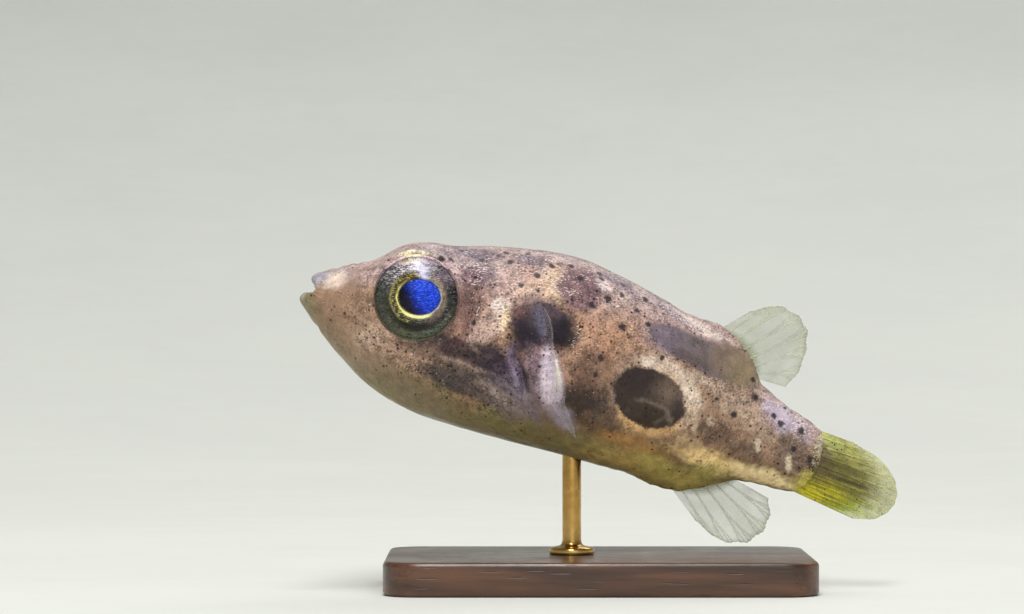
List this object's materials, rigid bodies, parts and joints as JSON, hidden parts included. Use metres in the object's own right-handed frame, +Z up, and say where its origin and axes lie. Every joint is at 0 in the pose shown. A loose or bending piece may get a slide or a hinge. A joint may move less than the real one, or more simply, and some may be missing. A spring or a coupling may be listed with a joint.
{
  "type": "freshwater pufferfish model on a display stand",
  "caption": "Life-size model of a dwarf freshwater pufferfish swimming nose-up with its fins spread, held over a flat wooden base by a short brass rod in its belly.",
  "frame": {"origin": "middle of the underside of the stand's base", "axes": "+X along the base towards the fish's tail, +Z up, the fish's left flank facing -Y"},
  "size_m": [0.0266, 0.0144, 0.0154],
  "materials": {
    "skin": "moist scaleless skin, satin, tan with dark spots",
    "lip": "moist pale skin, satin",
    "tooth": "polished enamel",
    "eye": "clear wet cornea over a gold-ringed blue pupil",
    "fin": "clear web with fine pale rays",
    "fin_tail": "yellow-olive web with fine rays",
    "walnut": "oiled dark walnut",
    "brass": "polished"
  },
  "bodies": {
    "root": {"head": "skin", "trunk": "skin", "tail_stalk": "skin", "lip_upper": "lip", "lip_lower": "lip", "teeth_upper": "tooth", "teeth_lower": "tooth", "eye_left": "eye", "eye_right": "eye", "fin_dorsal": "fin", "fin_anal": "fin", "fin_caudal": "fin_tail", "fin_pectoral_left": "fin", "fin_pectoral_right": "fin", "stand_base": "walnut", "stand_rod": "brass"}
  },
  "joints": []
}
